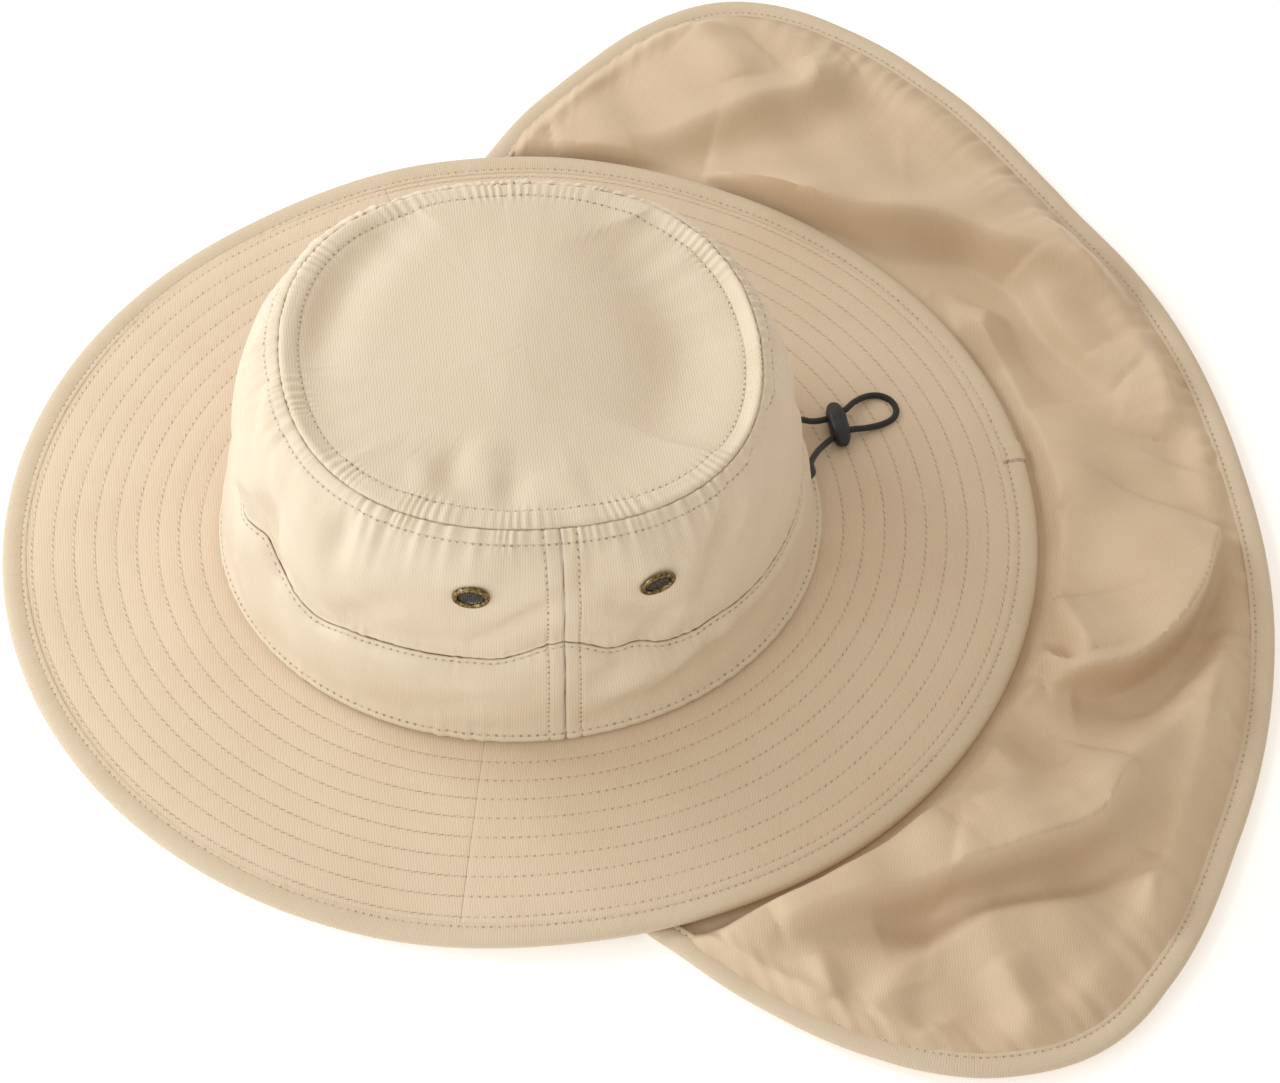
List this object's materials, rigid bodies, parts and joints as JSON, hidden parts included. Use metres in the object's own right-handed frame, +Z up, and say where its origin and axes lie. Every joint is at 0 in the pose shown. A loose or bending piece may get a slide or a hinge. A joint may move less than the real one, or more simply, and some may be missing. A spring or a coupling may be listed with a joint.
{
  "type": "flap sun hat",
  "caption": "Beige wide-brim sun hat with a round stitched brim, a soft crown with eyelets and a long neck flap spread out behind.",
  "frame": {"origin": "middle of the base of the whole hat's box, on the surface that the brim and the flap lie on", "axes": "+Z up out of the crown, -Y towards the hat's front, +Y towards the back and the flap, +X towards the wearer's left"},
  "size_m": [0.4646, 0.4352, 0.1086],
  "materials": {
    "crown_cloth": "fine woven polyester, soft sheen",
    "brim_cloth": "fine twill, rows of stitching",
    "flap_cloth": "thin soft polyester, satin sheen",
    "edge_tape": "folded woven tape",
    "antique_brass": "antiqued, worn on the edges",
    "dark_mesh": "dark woven wire",
    "black_elastic": "round braided elastic",
    "black_plastic": "satin moulded"
  },
  "bodies": {
    "root": {"crown_tip": "crown_cloth", "crown_upper_front": "crown_cloth", "crown_upper_back": "crown_cloth", "crown_lower_front": "crown_cloth", "crown_lower_back": "crown_cloth", "brim_front": "brim_cloth", "brim_back": "brim_cloth", "brim_edge_tape": "edge_tape", "neck_flap": "flap_cloth", "flap_edge_tape": "edge_tape", "eyelet_rim_left_front": "antique_brass", "eyelet_rim_left_back": "antique_brass", "eyelet_rim_right_front": "antique_brass", "eyelet_rim_right_back": "antique_brass", "eyelet_mesh_left_front": "dark_mesh", "eyelet_mesh_left_back": "dark_mesh", "eyelet_mesh_right_front": "dark_mesh", "eyelet_mesh_right_back": "dark_mesh", "cord": "black_elastic", "cord_lock": "black_plastic"}
  },
  "joints": []
}
